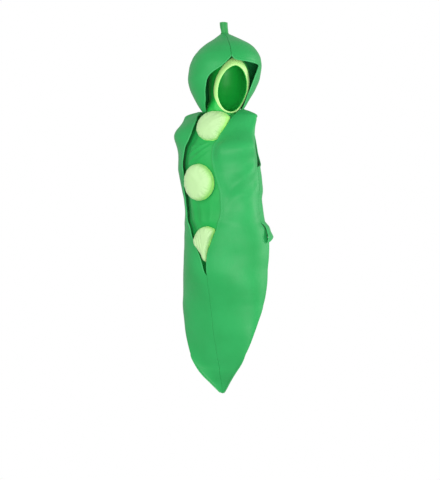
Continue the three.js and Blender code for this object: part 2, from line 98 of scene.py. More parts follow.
# The front's two edges: height, degrees from the front towards its own left.
LEFT_EDGE = [
    (0, 0), (VEE, 0), (503, -0.9), (552, -1.9), (585, -0.9), (621, 2.6), (655, 7.9), (684, 13.8),
    (724, 20.3), (757, 22.1), (799, 22.5), (839, 19.6), (875, 17.3), (921, 15.9), (961, 14.4),
    (996, 14.9), (1021, 18.8), (1054, 22.9), (1083, 27.9), (1114, 30), (1135, 35), (1156, 56), (1164, 78),
]
RIGHT_EDGE = [
    (0, 0), (VEE, 0), (500, -3.5), (535, -8), (571, -14), (607, -22.5), (646, -30.4), (686, -36),
    (723, -43.3), (771, -46.5), (826, -49), (872, -42), (911, -38), (937, -39), (975, -35.3),
    (1003, -31.4), (1034, -24.4), (1065, -21.9), (1098, -23.4), (1125, -27), (1145, -38), (1157, -56),
    (1164, -84),
]
SIDE_EDGE = [(0, 90), (560, 89), (638, 88.6), (690, 88.6), (SLIT_TOP, 90), (1164, 90)]
BACK_EDGE = [
    (610, 84), (HEM_BACK, 85), (662, 86.7), (678, 91), (692, 92), (SLIT_TOP, 90), (SHOULDER_TOP, 90),
]
BACK_ARM_EDGE = [
    (SLIT_TOP, 90), (ARM_HOLE[0], 90), (930, 108), (947, 121), (985, 132), (1024, 135),
    (1070, 137), (1101, 134), (1120, 118), (ARM_HOLE[1], SHOULDER_BACK), (SHOULDER_TOP, SHOULDER_BACK),
]
# Where the right half is pulled aside and lifted, where the back's hem hangs lower, and where the
# back is hollow.
LAPEL_PULL = dict(height=1062, spread=52, angle=-58, width=30, out=32)
LAPEL_LIFT = dict(height=1134, spread=18, angle=-71, width=13, up=10)
HEM_CORNER = dict(angle=84, width=19, down=25)
BACK_HOLLOW = dict(angle=180, width=26, height=850, spread=170, deep=16)
NECK = dict(x=-7, y=6, wide=85, deep=62)           # the neckline, seen from above

# The chest panel's two edges, and how much further in it lies: by height, and beside the right edge.
CHEST_BOTTOM, CHEST_TOP = 468, 1150
CHEST_LEFT_EDGE = [(CHEST_BOTTOM, 12), (545, 40), (1060, 46), (1110, 55), (CHEST_TOP, 70)]
CHEST_RIGHT_EDGE = [
    (CHEST_BOTTOM, -14), (545, -50), (700, -62), (1060, -62), (1110, -66), (CHEST_TOP, -74),
]
CHEST_SINK = [(CHEST_BOTTOM, 40), (545, 19), (620, 0), (CHEST_TOP, 0)]
LAPEL_SINK = dict(depth=10, width=15)

# The hood and the coif: height, lean towards its own left, half width, half depth.
HOOD = [
    (HOOD_HEM, -6, 80, 80), (1200, -8, 106, 104), (1242, -6, 133, 126), (1294, 0, 148, 140),
    (1332, 5, 149, 141), (1369, 10, 141, 134), (1400, 14, 122, 116), (1423, 16, 98, 94),
    (1445, 14, 62, 60), (1460, 9, 37, 36), (HOOD_TOP, 4, 20, 20),
]
HOOD_LEFT_EDGE = [
    (HOOD_HEM, 61), (1190, 58), (1220, 51), (1240, 49), (1285, 48), (1320, 54), (1335, 56.5),
    (1339.5, 46), (1341, 28), (1343, 12), (1347, 3), (FRONT_PEAK, -3),
]
HOOD_RIGHT_EDGE = [
    (HOOD_HEM, -70), (1198, -51.5), (1241, -42.3), (1267, -39.1), (1284, -35.1), (1298, -29.1),
    (1314, -19), (1331, -11.5), (FRONT_PEAK, -3),
]
HOOD_SEAM = [(HOOD_HEM, -3), (FRONT_PEAK, -3), (1400, -6), (1420, -9), (1450, -13), (HOOD_TOP, -16)]
COIF = [
    (1104, 2, 49, 44), (1150, -7, 70, 57), (1172, -1, 69, 66), (1200, 11, 72, 84), (1240, 18, 82, 99),
    (1280, 20, 85, 104), (1315, 20, 82, 104), (1343, 20, 73, 99), (1362, 20, 56, 84), (1376, 20, 28, 46),
    (1380, 20, 10, 14),
]
# The rows of the hood's grid: from, to, how many.
HOOD_ROWS = [(HOOD_HEM, 1330, 60), (1330, FRONT_PEAK, 50), (FRONT_PEAK, 1420, 30), (1420, HOOD_TOP, 40)]
HOOD_ROUND = 140        # the hood's mean radius, which turns its angles into lengths
HEM_DIPS = [(-80, 30, 23), (-150, 25, 14), (65, 20, 17)]   # where the hood's hem dips: angle, width, down
HEM_DIP_FADE = 70       # how far above the hem a dip ends
COIF_LEAN = 20          # the face opening's middle, towards the hood's left
FACE_TILT = 0.065       # how much further to the hood's left the face opening's top is
FACE = dict(middle=1236, wide=60, tall=88, point=4)
BAND = dict(middle=1247, wide=74.5, tall=106, point=15)
STALK = dict(base=1464, top=1518, base_radius=14.8, top_radius=16.3, x=2, y=2, lean=-4.5)

# Each pea: its middle, half sizes, how far it stands out, its side wall's height, how much its face
# bends with the chest behind it, and whether its face too lies under the front's right edge.
PEAS = {
    "pea_top": dict(x=13, z=1085, wide=70, tall=60, out=44, wall=14, follow=0.35),
    "pea_middle": dict(x=-29, z=858, wide=66, tall=72, out=47, wall=16, follow=0.5),
    "pea_bottom": dict(x=-3, z=610, wide=64, tall=70, out=31, wall=9, follow=0.6, under=True),
}

# The left half's large folds: the slanting line that each follows, from a height at a place round the
# body, the ridges along it as (middle above the line, width, height), and where round the body it starts.
FRONT_FOLDS = [
    dict(height=1004, around=57, rise=0.195, starts=(-1, 0), ridges=[(-28, 46, 27), (62, 36, -4)]),
    dict(height=791, around=82, rise=0.744, starts=(60, 110), ridges=[(34, 28, 10), (-26, 26, -4)]),
]

# Small folds, each from one width and height to another, with its height and width.
CHEST_FOLDS = [
    ((5, 1020), (-105, 962), 3.6, 6), ((16, 1004), (-95, 934), 4.2, 7), ((22, 984), (-70, 918), 2.8, 8),
    ((-28, 1010), (-110, 1000), 2.4, 6), ((-34, 780), (-26, 680), 3.2, 12),
    ((-80, 790), (-60, 690), 2.4, 9), ((14, 770), (8, 690), 2.0, 8),
]
PEA_CREASES = {
    "pea_top": [
        ((60, 1120), (10, 1088), 1.4, 7), ((40, 1135), (-20, 1100), -1.2, 6),
        ((66, 1100), (0, 1062), -1.2, 7),
    ],
    "pea_middle": [
        ((-50, 900), (-10, 850), 1.2, 9), ((-20, 905), (10, 850), -1.2, 8),
        ((20, 880), (-20, 830), 1.2, 9),
    ],
    "pea_bottom": [
        ((-50, 650), (-34, 575), -2.2, 4), ((-38, 655), (-24, 580), -2.0, 4),
        ((-26, 658), (-14, 590), -1.6, 4),
    ],
}
# The coif's folds run over degrees and heights.
COIF_FOLDS = [
    ((300, 1215), (340, 1135), 2.0, 7), ((300, 1190), (350, 1120), 1.6, 6),
    ((20, 1125), (70, 1160), 1.6, 6),
]

# The knits, in metres: a column's width, a row's height, and how deep they are.
POD_KNIT = dict(wale=0.0009, course=0.0007, deep=0.00006)
PEA_KNIT = dict(wale=0.0013, course=0.001, deep=0.00006)
PLAIN_KNIT = dict(wale=0.0011, course=0.0009, deep=0.00005)

# The photograph's camera: its turn, distance, and what its picture spans at the costume.
CAMERA = dict(azimuth=32, distance=4500, height=627, aside=-16.4, tall=1968)
SENSOR = 24
FLOOR = -307            # the ground, below the pod's tip
FLOOR_SIDES = 96

# In metres and watts: the studio, the height that the softboxes look at, and each softbox as degrees
# from the camera's turn, elevation, distance, power, width and height.
FLOOR_RADIUS = 12
DOME_RADIUS = 11.5
WORLD_LIGHT = 0.6
LIT_MIDDLE = -0.4
WHITE_GLOW = {
    "Base Color": (0, 0, 0, 1), "Roughness": 1.0, "Specular IOR Level": 0.0,
    "Emission Color": (1, 1, 1, 1), "Emission Strength": 1.0,
}
LAMPS = {
    "key_softbox": (-35, 16, 3.6, 44, 1.6, 2.4),
    "side_softbox": (88, 8, 3.4, 72, 1.2, 2.4),
    "front_softbox": (6, -7, 4.4, 97, 1.4, 0.9),
}


def along(table, height):
    """Every column of a table at some heights: a cubic that never goes past its rows."""
    rows = np.asarray(table, float)
    x, value = rows[:, 0], rows[:, 1:]
    rise = np.diff(value, axis=0) / np.diff(x)[:, None]
    before, after = np.vstack([rise[:1], rise]), np.vstack([rise, rise[-1:]])
    same = before * after > 0
    slope = np.where(same, 2 * before * after / np.where(same, before + after, 1), 0)
    at = np.clip(np.asarray(height, float), x[0], x[-1])
    k = np.clip(np.searchsorted(x, at, side="right") - 1, 0, len(x) - 2)
    step = (x[k + 1] - x[k])[..., None]
    s = (at - x[k])[..., None] / step
    return ((1 + 2 * s) * (1 - s) ** 2 * value[k] + s * (1 - s) ** 2 * step * slope[k]
            + s * s * (3 - 2 * s) * value[k + 1] + s * s * (s - 1) * step * slope[k + 1])


def edge(table, height):
    return along(table, height)[..., 0]


def straight(table, height):
    """A table's second column with straight lines between its rows."""
    rows = np.asarray(table, float)
    return np.interp(height, rows[:, 0], rows[:, 1])


def smooth(low, high, value):
    """0 at low, 1 at high, and a smooth step between."""
    t = np.clip((value - low) / (high - low), 0, 1)
    return t * t * (3 - 2 * t)


def bell(value, middle, width):
    return np.exp(-((value - middle) / width) ** 2)


def on_tunic(table, angle, height, inset=0):
    """The tunic's outer face, as an oval at each height, moved in by inset."""
    x, y, wide, deep = np.moveaxis(along(table, height), -1, 0)
    turn = np.radians(angle)
    return np.stack(np.broadcast_arrays(
        x + (wide - inset) * np.sin(turn), y - (deep - inset) * np.cos(turn), height), -1)


def on_hood(table, angle, height, out=0):
    """The hood or the coif, as an oval at each height, turned as the head is."""
    lean, wide, deep = np.moveaxis(along(table, height), -1, 0)
    turn, face = np.radians(angle), math.radians(HOOD_TURN)
    side, front = lean + (wide + out) * np.sin(turn), (deep + out) * np.cos(turn)
    return np.stack(np.broadcast_arrays(
        side * math.cos(face) + front * math.sin(face),
        side * math.sin(face) - front * math.cos(face), height), -1).copy()


FINE = np.array([0, 0.35, 0.9, 1.7, 2.8, 4.6, 7, 9.5, 12, 14.5, 18])   # grid lines near an edge, in mm


def spaced(length, count):
    """count places from 0 to each length, closer together near both ends."""
    length = np.asarray(length, float)[..., None]
    fine = FINE * np.minimum(1, length / (3.2 * FINE[-1]))
    middle = np.linspace(0, 1, count - 2 * len(FINE) + 2)[1:-1]
    inner = fine[..., -1:] + middle * (length - 2 * fine[..., -1:])
    return np.concatenate([fine, inner, length - fine[..., ::-1]], -1)


def normals(grid):
    across, up = np.gradient(grid, axis=1), np.gradient(grid, axis=0)
    n = np.cross(across, up)
    return n / np.maximum(np.linalg.norm(n, axis=-1, keepdims=True), 1e-9)


def run_of(grid, axis):
    """How far each point is along its line of the grid."""
    steps = np.linalg.norm(np.diff(grid, axis=axis), axis=-1)
    shape = list(steps.shape)
    shape[axis] = 1
    return np.concatenate([np.zeros(shape), np.cumsum(steps, axis)], axis)


def new_mesh(name, points, faces, uv=None, facts=None):
    """A smooth object in the frame's metres. uv and each fact hold one row for each point."""
    used = np.arange(points.size // 3)
    if isinstance(faces, np.ndarray):
        used, again = np.unique(faces, return_inverse=True)
        faces = again.reshape(faces.shape).tolist()
    mesh = bpy.data.meshes.new(name)
    place = (points.reshape(-1, 3)[used] - (0, 0, NECK_HEIGHT)) / 1000
    mesh.from_pydata(place.tolist(), [], faces)
    mesh.polygons.foreach_set("use_smooth", np.ones(len(faces), bool))
    if uv is not None:
        layer = mesh.uv_layers.new(name="cloth")
        corner = np.empty(len(mesh.loops), int)
        mesh.loops.foreach_get("vertex_index", corner)
        layer.data.foreach_set("uv", (uv.reshape(-1, 2)[used][corner] / 1000).ravel())
    for key, values in (facts or {}).items():
        fact = mesh.attributes.new(key, "FLOAT", "POINT")
        fact.data.foreach_set("value", values.ravel()[used].astype(np.float32))
    mesh.validate()
    mesh.update()
    piece = bpy.data.objects.new(name, mesh)
    bpy.context.scene.collection.objects.link(piece)
    return piece


def quads(number):
    """The four corners of every cell of a grid of point numbers."""
    corners = [number[:-1, :-1], number[:-1, 1:], number[1:, 1:], number[1:, :-1]]
    return np.stack(corners, -1).reshape(-1, 4)


def sheet(name, grid, thick, hem, detail=0, edge_gap=NO_HEM):
    """A sheet of cloth with turned edges: two faces thick apart that meet in a round rim.

    grid is the outer face, hem how far each point is from a stitched edge, and detail how far the
    cloth stands out there. edge_gap is how far each point is from an edge that crosses the grid's lines.
    An edge without a hem is sewn to the next panel, so its rim is tighter. A hem has a shallow groove
    where it is stitched and is puffed outside it."""
    rows, columns = grid.shape[:2]
    half = thick / 2
    u, v = run_of(grid, 1), run_of(grid, 0)
    rim = np.minimum(np.minimum(np.minimum(u, u[:, -1:] - u), np.minimum(v, v[-1:] - v)), edge_gap)
    rim = np.minimum(np.where(hem >= NO_HEM, 2 * rim, rim), half)
    sink = half * (1 - np.sqrt(1 - np.clip(1 - rim / half, 0, 1) ** 2))
    groove = 0.35 * bell(hem, STITCH_IN, 1.8) - 0.35 * bell(hem, STITCH_IN / 2, 2)
    normal = normals(grid)
    bulge = (np.zeros(u.shape) + detail)[..., None]
    outer = grid + normal * (bulge - (sink + groove * smooth(0, half, rim))[..., None])
    inner = grid + normal * (bulge - (thick - sink - 0.5 * groove * smooth(0, half, rim))[..., None])
    number = np.arange(rows * columns).reshape(rows, columns)
    under = number + rows * columns
    for line in (np.s_[0], np.s_[-1], np.s_[:, 0], np.s_[:, -1]):
        under[line] = number[line]
    faces = np.concatenate([quads(number), quads(under)[:, ::-1]])
    points = np.concatenate([outer.reshape(-1, 3), inner.reshape(-1, 3)])
    uv = np.tile(np.stack([u, v], -1).reshape(-1, 2), (2, 1))
    inside = np.repeat([0.0, 1.0], rows * columns)
    return new_mesh(name, points, faces, uv,
                    dict(hem=np.tile(hem.ravel(), 2), run=np.tile(v.ravel(), 2), inside=inside))


def arm_angle(height):
    """Where the front of the armhole's oval crosses the tunic's face."""
    _, y, _, deep = np.moveaxis(along(TUNIC, height), -1, 0)
    reach = np.sqrt(np.clip(1 - ((height - ARM_OVAL["height"]) / ARM_OVAL["tall"]) ** 2, 0, 1))
    cosine = (y - ARM_OVAL["y"] + ARM_OVAL["deep"] * reach) / deep
    return np.degrees(np.arccos(np.clip(cosine, -1, 1)))


def front_side(height):
    """The outer edge of a front half: the side hem, the side seam, the armhole, then the shoulder."""
    inside = (height > ARM_HOLE[0]) & (height < ARM_HOLE[1])
    return np.where(inside, np.minimum(arm_angle(height) + ARM_BACK, 90), straight(SIDE_EDGE, height))


def soft_waves(x, z):
    """Slow undulations of foam-backed cloth, a few millimetres high."""
    return (1.6 * np.sin(z / 71 + x / 83) + 1.3 * np.sin(z / 43 - x / 57 + 1.7)
            + 0.7 * np.sin(z / 29 + x / 37 + 0.6))


def pulled(most, angle, height):
    """How strongly a pull, a lift or a hollow acts at each place: 1 at its own, less all round it."""
    return bell(height, most["height"], most["spread"]) * bell(angle, most["angle"], most["width"])


def front_half(name, sign, rows=380, columns=84):
    """One half of the pod's front, from its front edge round to the side."""
    tip, tip_rows = 40, 23
    height = np.concatenate([np.linspace(0, tip, tip_rows, endpoint=False),
                             np.linspace(tip, SHOULDER_TOP, rows - tip_rows)])
    side = front_side(height) - SIDE_GAP
    front = sign * edge(LEFT_EDGE if sign > 0 else RIGHT_EDGE, height)
    size = along(TUNIC, height)
    gap = np.where(height < VEE, SEWN_GAP, SEAM_GAP)
    front = front + np.degrees(gap / size[:, 2])
    length = np.radians(side - front) * (size[:, 2] + np.abs(size[:, 3])) / 2
    share = spaced(length, columns) / length[:, None]
    angle = front[:, None] + share * (side - front)[:, None]
    high = np.broadcast_to(height[:, None], angle.shape)
    if sign < 0:
        angle, share = -angle[:, ::-1], share[:, ::-1]
    grid = on_tunic(TUNIC, angle, high)
    if sign < 0:
        out = LAPEL_PULL["out"] * pulled(LAPEL_PULL, angle, high)
        up = LAPEL_LIFT["up"] * pulled(LAPEL_LIFT, angle, high)
        turn = np.radians(angle)
        grid = grid + np.stack([out * np.sin(turn), -out * np.cos(turn), up], -1)
    round_way = np.abs(angle) * PER_DEGREE
    # The waves start above the tip and are full above the hips.
    strong = 0.5 * smooth(0, 120, high) + 0.5 * smooth(450, 750, high)
    wave = soft_waves(round_way + 40 * sign, high) * strong
    for line in FRONT_FOLDS if sign > 0 else ():
        above = high - (line["height"] + line["rise"] * (round_way - line["around"]))
        ridges = sum(tall * bell(above, middle, wide) for middle, wide, tall in line["ridges"])
        wave = wave + ridges * smooth(*line["starts"], round_way)
    from_front, from_side = share * length[:, None], (1 - share) * length[:, None]
    arm = (high > ARM_HEM[0]) & (high < ARM_HEM[1])
    hem = np.minimum(np.where(high > VEE + 15, from_front, NO_HEM),
                     np.where((high < SLIT_TOP) | arm, from_side, NO_HEM))
    wave = wave * smooth(0, EDGE_CALM, np.minimum(from_front, from_side))
    return sheet(name, grid, FABRIC, hem, wave)


def neckline(angle, inset, top):
    """How high the cloth reaches at each angle: up to top, or to where the neck is cut out of it."""
    lowest = 1090
    height = np.linspace(lowest, top, 240)
    place = on_tunic(TUNIC, angle[:, None], height, inset)
    across = (place[..., 0] - NECK["x"]) / NECK["wide"]
    behind = (place[..., 1] - NECK["y"]) / NECK["deep"]
    cut = across ** 2 + behind ** 2 < 1
    ceiling = np.where(cut.any(1), height[cut.argmax(1)], top)
    soft = np.ones(9) / 9
    return np.convolve(np.pad(ceiling, 4, "edge"), soft, "valid")


def back_panel(name, rows=230, columns=190):
    """The short back, from its hem to the shoulders, with the armholes and the neck cut out."""
    across, up = spaced(BACK_GIRTH, columns) / BACK_GIRTH, spaced(BACK_TALL, rows) / BACK_TALL
    ceiling = neckline(SHOULDER_BACK + across * (360 - 2 * SHOULDER_BACK), 2, SHOULDER_TOP)
    high = HEM_BACK + up[:, None] * (ceiling[None, :] - HEM_BACK)
    first = np.where(high < SLIT_TOP, straight(BACK_EDGE, high), edge(BACK_ARM_EDGE, high))
    first = first + SIDE_GAP
    angle = first + across[None, :] * (360 - 2 * first)
    near = np.minimum(angle, 360 - angle) - HEM_CORNER["angle"]
    down = HEM_CORNER["down"] * bell(near, 0, HEM_CORNER["width"]) * smooth(SLIT_TOP, HEM_BACK, high)
    at = high - down
    grid = np.where((at < SLIT_TOP)[..., None], on_tunic(BACK, angle, at), on_tunic(TUNIC, angle, at))
    wave = 1.3 * soft_waves(angle * PER_DEGREE, high)
    hollow = BACK_HOLLOW["deep"] * pulled(BACK_HOLLOW, angle, high)
    u, v = run_of(grid, 1), run_of(grid, 0)
    side, ends = np.minimum(u, u[:, -1:] - u), np.minimum(v, v[-1:] - v)
    wave = (wave - hollow) * smooth(0, EDGE_CALM, np.minimum(side, ends))
    arm = (high > ARM_HOLE[0]) & (high < ARM_HOLE[1])
    hem = np.minimum(np.where((high < SLIT_TOP) | arm, side, NO_HEM), ends)
    return sheet(name, grid, FABRIC, hem, wave)


def fold(x, z, start, end, high, wide):
    """A ridge along the line from start to end that fades at both ends."""
    way = np.subtract(end, start)
    length = np.hypot(*way)
    way = way / length
    run = (x - start[0]) * way[0] + (z - start[1]) * way[1]
    off = (x - start[0]) * way[1] - (z - start[1]) * way[0]
    run = run / length
    return high * bell(off, 0, wide) * smooth(-0.15, 0.25, run) * smooth(1.15, 0.7, run)


def chest_panel(name, rows=300, columns=130):
    """The stretched panel behind the peas, with folds that pull from the top pea to the lapel."""
    share = np.linspace(0, 1, columns)
    right, left = CHEST_RIGHT_EDGE[-1][1], CHEST_LEFT_EDGE[-1][1]
    ceiling = neckline(right + share * (left - right), CHEST_INSET + 2, CHEST_TOP)
    high = CHEST_BOTTOM + np.linspace(0, 1, rows)[:, None] * (ceiling - CHEST_BOTTOM)
    first, last = straight(CHEST_RIGHT_EDGE, high), straight(CHEST_LEFT_EDGE, high)
    angle = first + share * (last - first)
    from_right, from_left = angle - edge(RIGHT_EDGE, high), edge(LEFT_EDGE, high) - angle
    sink = LAPEL_SINK["depth"] * smooth(LAPEL_SINK["width"], 0, from_right)
    grid = on_tunic(TUNIC, angle, high, straight(CHEST_SINK, high) + sink)
    grid = grid - CHEST_INSET * normals(grid)
    x = grid[..., 0]
    open_part = smooth(1, 10, from_right) * smooth(1, 8, from_left)
    wave = 0.8 * soft_waves(x, high)
    for start, end, tall, wide in CHEST_FOLDS:
        wave = wave + fold(x, high, start, end, tall, wide) * open_part
    u, v = run_of(grid, 1), run_of(grid, 0)
    near = np.minimum(np.minimum(u, u[:, -1:] - u), np.minimum(v, v[-1:] - v))
    return sheet(name, grid, LINING, np.full(u.shape, NO_HEM), wave * smooth(0, 20, near))


def on_chest(x, height, out):
    """A point over the chest at a width and a height."""
    middle, _, wide, _ = np.moveaxis(along(CHEST, height), -1, 0)
    angle = np.degrees(np.arcsin(np.clip((x - middle) / (wide - CHEST_INSET), -1, 1)))
    return on_tunic(CHEST, angle, height, CHEST_INSET + straight(CHEST_SINK, height) - out)


def pea_reach(x, z, wide, tall, turn, tucked):
    """How much of its own size a pea has each way before it meets an edge of the opening. The left edge
    always holds it, and the right one only where it is tucked under that, since a face may lie over it."""
    reach, step, least = np.ones(turn.shape), 0.004, 0.2
    for _ in range(220):
        height = z + reach * tall * np.sin(turn)
        at = x + reach * wide * np.cos(turn)
        low = on_tunic(TUNIC, edge(RIGHT_EDGE, height), height)[..., 0] + PEA_CLEARANCE
        high = on_tunic(TUNIC, edge(LEFT_EDGE, height), height)[..., 0] - PEA_CLEARANCE
        held = ((at <= low) & tucked) | (at >= high)
        reach = np.where(held & (reach > least), reach - step, reach)
    soft = np.hanning(9) / np.hanning(9).sum()
    return np.convolve(np.r_[reach[-4:], reach, reach[:4]], soft, "valid")


def pea(name, x, z, wide, tall, out, wall, follow, under=False, creases=(), rings=60, sides=220):
    """A stuffed round sewn on the panel: a puffed face, a soft side wall and a back on the panel."""
    wall_rows = 14
    turn = np.linspace(0, 2 * np.pi, sides, endpoint=False)
    face_reach, foot_reach = (pea_reach(x, z, wide, tall, turn, tucked) for tucked in (under, True))
    middle = on_chest(np.array([x]), np.array([z]), PEA_GAP)[0]

    def face(share, reach, high):
        across, up = x + share * reach * wide * np.cos(turn), z + share * reach * tall * np.sin(turn)
        place = on_chest(across, up, PEA_GAP)
        place[..., 1] = middle[1] + follow * (place[..., 1] - middle[1]) - high
        return place, across, up

    def back(share):
        out_way = share * foot_reach
        return on_chest(x + out_way * wide * np.cos(turn), z + out_way * tall * np.sin(turn), PEA_GAP)

    share = np.sin(np.linspace(0, 1, rings) * np.pi / 2)[1:, None]
    pucker = np.sin(11 * turn + 1.5 * np.sin(3 * turn + x))
    pucker = pucker + 0.8 * np.sin(23 * turn + 2 * np.sin(5 * turn + z))
    puff = (1 - share ** 3) ** 0.5
    front, across, up = face(share, face_reach, wall + (out - wall) * puff)
    dent = -1.3 * smooth(0.55, 0.95, share) * smooth(1.0, 0.97, share) * pucker
    dent = dent + 0.8 * soft_waves(across * 2.2, up * 2)
    for start, end, tall_fold, wide_fold in creases:
        dent = dent + fold(across, up, start, end, tall_fold, wide_fold)
    front[..., 1] -= dent * smooth(1, 0.9, share)
    fall = np.linspace(0, 1, wall_rows)[1:, None, None]
    side = front[-1] * (1 - fall) + back(np.array([[1.0]])) * fall
    outward = np.stack([np.cos(turn), 0 * turn, np.sin(turn)], -1)
    round_out = 1.6 * np.sin(np.pi * fall) - 0.5 * bell(fall, 0.94, 0.05)
    side = side + outward * (round_out * smooth(0.2, 1, fall * 2))
    side = side - outward * (0.5 * np.sin(np.pi * fall) * pucker[:, None])
    under_side = back(np.linspace(1, 0, wall_rows)[1:-1, None])
    loops = np.concatenate([front, side, under_side])
    rim = np.concatenate([[0], np.repeat(share[:, 0], sides), np.repeat(1 + fall[:, 0, 0], sides),
                          np.full(len(under_side) * sides, 2.0), [2]])
    return capped(name, middle - (0, out, 0), loops, middle, dict(rim=rim))


def capped(name, start, loops, end, facts=None):
    """A closed skin over loops of points, drawn together to a point at each end."""
    count, sides = loops.shape[:2]
    points = np.concatenate([start.reshape(1, 3), loops.reshape(-1, 3), end.reshape(1, 3)])
    ring = 1 + np.arange(count * sides).reshape(count, sides)
    following = np.roll(ring, -1, 1)
    quads = np.stack([ring[:-1], ring[1:], following[1:], following[:-1]], -1).reshape(-1, 4)
    first = np.stack([np.zeros(sides, int), ring[0], following[0]], -1)
    last = np.stack([ring[-1], np.full(sides, len(points) - 1), following[-1]], -1)
    return new_mesh(name, points, [*first.tolist(), *quads.tolist(), *last.tolist()], None, facts)


def oval(shape, turn, grow=0.0):
    """The side and height of a pointed oval at each turn, with 0 at its top."""
    side = (shape["wide"] + grow) * np.sin(turn)
    peak = shape["point"] * np.where(np.cos(turn) > 0, (1 - np.abs(np.sin(turn))) ** 2, 0)
    rise = (shape["tall"] + grow) * np.cos(turn) + peak
    return COIF_LEAN + side + FACE_TILT * rise, shape["middle"] + rise


def on_coif(side, height, out=0):
    """The coif's face at a distance to its own left and a height."""
    lean, wide, _ = np.moveaxis(along(COIF, height), -1, 0)
    angle = np.degrees(np.arcsin(np.clip((side - lean) / (wide + out), -1, 1)))
    return on_hood(COIF, angle, height, out)


def coif(name, columns=130):
    """The close head covering, from the face opening round the back, with a seam above and below it."""
    low, high = FACE["middle"] - FACE["tall"], FACE["middle"] + FACE["tall"] + FACE["point"]
    bend = np.linspace(0, np.pi, 110)[1:-1]
    side, rise = oval(FACE, np.pi - bend)
    bottom, top, below, above = COIF[0][0], COIF[-1][0], 24, 40
    height = np.concatenate([np.linspace(bottom, low, below), rise, np.linspace(high, top, above)])
    tilt = FACE_TILT * (np.clip(height, low, high) - FACE["middle"])
    half = np.concatenate([np.zeros(below), side - COIF_LEAN - tilt[below:-above], np.zeros(above)])
    lean, wide, _ = np.moveaxis(along(COIF, height), -1, 0)
    middle = np.minimum(COIF_LEAN + tilt, lean + 0.6 * wide)
    first, last = (np.degrees(np.arcsin(np.clip((middle + way * half - lean) / wide, -1, 1)))
                   for way in (1, -1))
    first, last = first + COIF_GAP, 360 + last - COIF_GAP
    share = spaced(COIF_GIRTH, columns) / COIF_GIRTH
    angle = first[:, None] + share * (last - first)[:, None]
    up = np.broadcast_to(height[:, None], angle.shape)
    grid = on_hood(COIF, angle, up)
    wave = 0.9 * soft_waves(angle * 1.4, up) * smooth(0, 0.06, share) * smooth(1, 0.94, share)
    wave = wave + sum(fold(angle, up, *line) for line in COIF_FOLDS)
    wave = wave * smooth(top, top - 30, up) * smooth(bottom, bottom + 10, up)
    return sheet(name, grid, LINING, np.full(up.shape, NO_HEM), wave - COIF_SINK)


def face_band(name, around=320, section=20):
    """The lime binding: a soft flat roll that follows the face opening all the way round."""
    turn = np.linspace(0, 2 * np.pi, around, endpoint=False)[:, None]
    spin = np.linspace(0, 2 * np.pi, section, endpoint=False)[None, :]
    share = 0.5 - 0.5 * np.cos(spin)
    inner, outer = oval(FACE, turn, BAND_TRIM), oval(BAND, turn, -BAND_TRIM)
    side = inner[0] + share * (outer[0] - inner[0])
    height = inner[1] + share * (outer[1] - inner[1])
    puff = np.abs(np.sin(spin)) ** 0.7
    stitch = 0.5 * bell(share, 0.62, 0.07)
    ripple = 0.25 * np.sin(34 * turn + 2 * np.sin(3 * turn)) * puff
    out = 0.9 + np.where(np.sin(spin) > 0, (2.9 - stitch + ripple) * puff, -0.3 * puff)
    grid = on_coif(side, height, out)
    number = np.arange(around * section).reshape(around, section)
    after, beside = np.roll(number, -1, 0), np.roll(number, -1, 1)
    faces = np.stack([number, after, np.roll(after, -1, 1), beside], -1).reshape(-1, 4)
    return new_mesh(name, grid, faces, None, dict(share=np.broadcast_to(share, number.shape)))


def stalk(name, rings=60, sides=64):
    """The stuffed stalk: a soft tube that widens to a flat top, gathered where it meets the hood."""
    turn = np.linspace(0, 2 * np.pi, sides, endpoint=False)
    rise = np.linspace(0, 1, rings)[:, None]
    radius = STALK["base_radius"] + (STALK["top_radius"] - STALK["base_radius"]) * smooth(0.1, 1.0, rise)
    radius = radius + 0.4 * bell(rise, 0.05, 0.09) + 2.6 * bell(rise, 0.15, 0.045)
    radius = radius + 0.35 * np.sin(3 * turn + 5 * rise) + 0.25 * np.sin(7 * turn - 9 * rise)
    height = STALK["base"] + rise * (STALK["top"] - STALK["base"])
    lip = np.linspace(1, 0, 10)[:-1, None]
    close = np.sqrt(1 - (1 - lip) ** 2)
    top_radius = radius[-1] * (0.86 + 0.14 * close) * np.linspace(1, 0.2, 9)[:, None] ** 0.35
    radii = np.concatenate([radius, top_radius[1:]])
    heights = np.concatenate([np.broadcast_to(height, (rings, 1)), STALK["top"] + 0.8 * (1 - lip[1:])])
    lean = STALK["lean"] * smooth(STALK["base"] + 12, STALK["top"] + 3, heights)
    across = math.radians(CAMERA["azimuth"])
    loops = np.stack([STALK["x"] + lean * math.cos(across) + radii * np.cos(turn),
                      STALK["y"] + lean * math.sin(across) + radii * np.sin(turn),
                      np.broadcast_to(heights, radii.shape)], -1)
    return capped(name, loops[0].mean(0), loops, loops[-1].mean(0))


def to_line(x, z, line_x, line_z):
    """How far each point is from a line of points, all in one plane."""
    start = np.stack([line_x, line_z], -1)[:-1]
    way = np.diff(np.stack([line_x, line_z], -1), axis=0)
    apart = np.stack([x, z], -1)[..., None, :] - start
    share = np.clip((apart * way).sum(-1) / (way * way).sum(-1), 0, 1)
    return np.linalg.norm(apart - share[..., None] * way, axis=-1).min(-1)


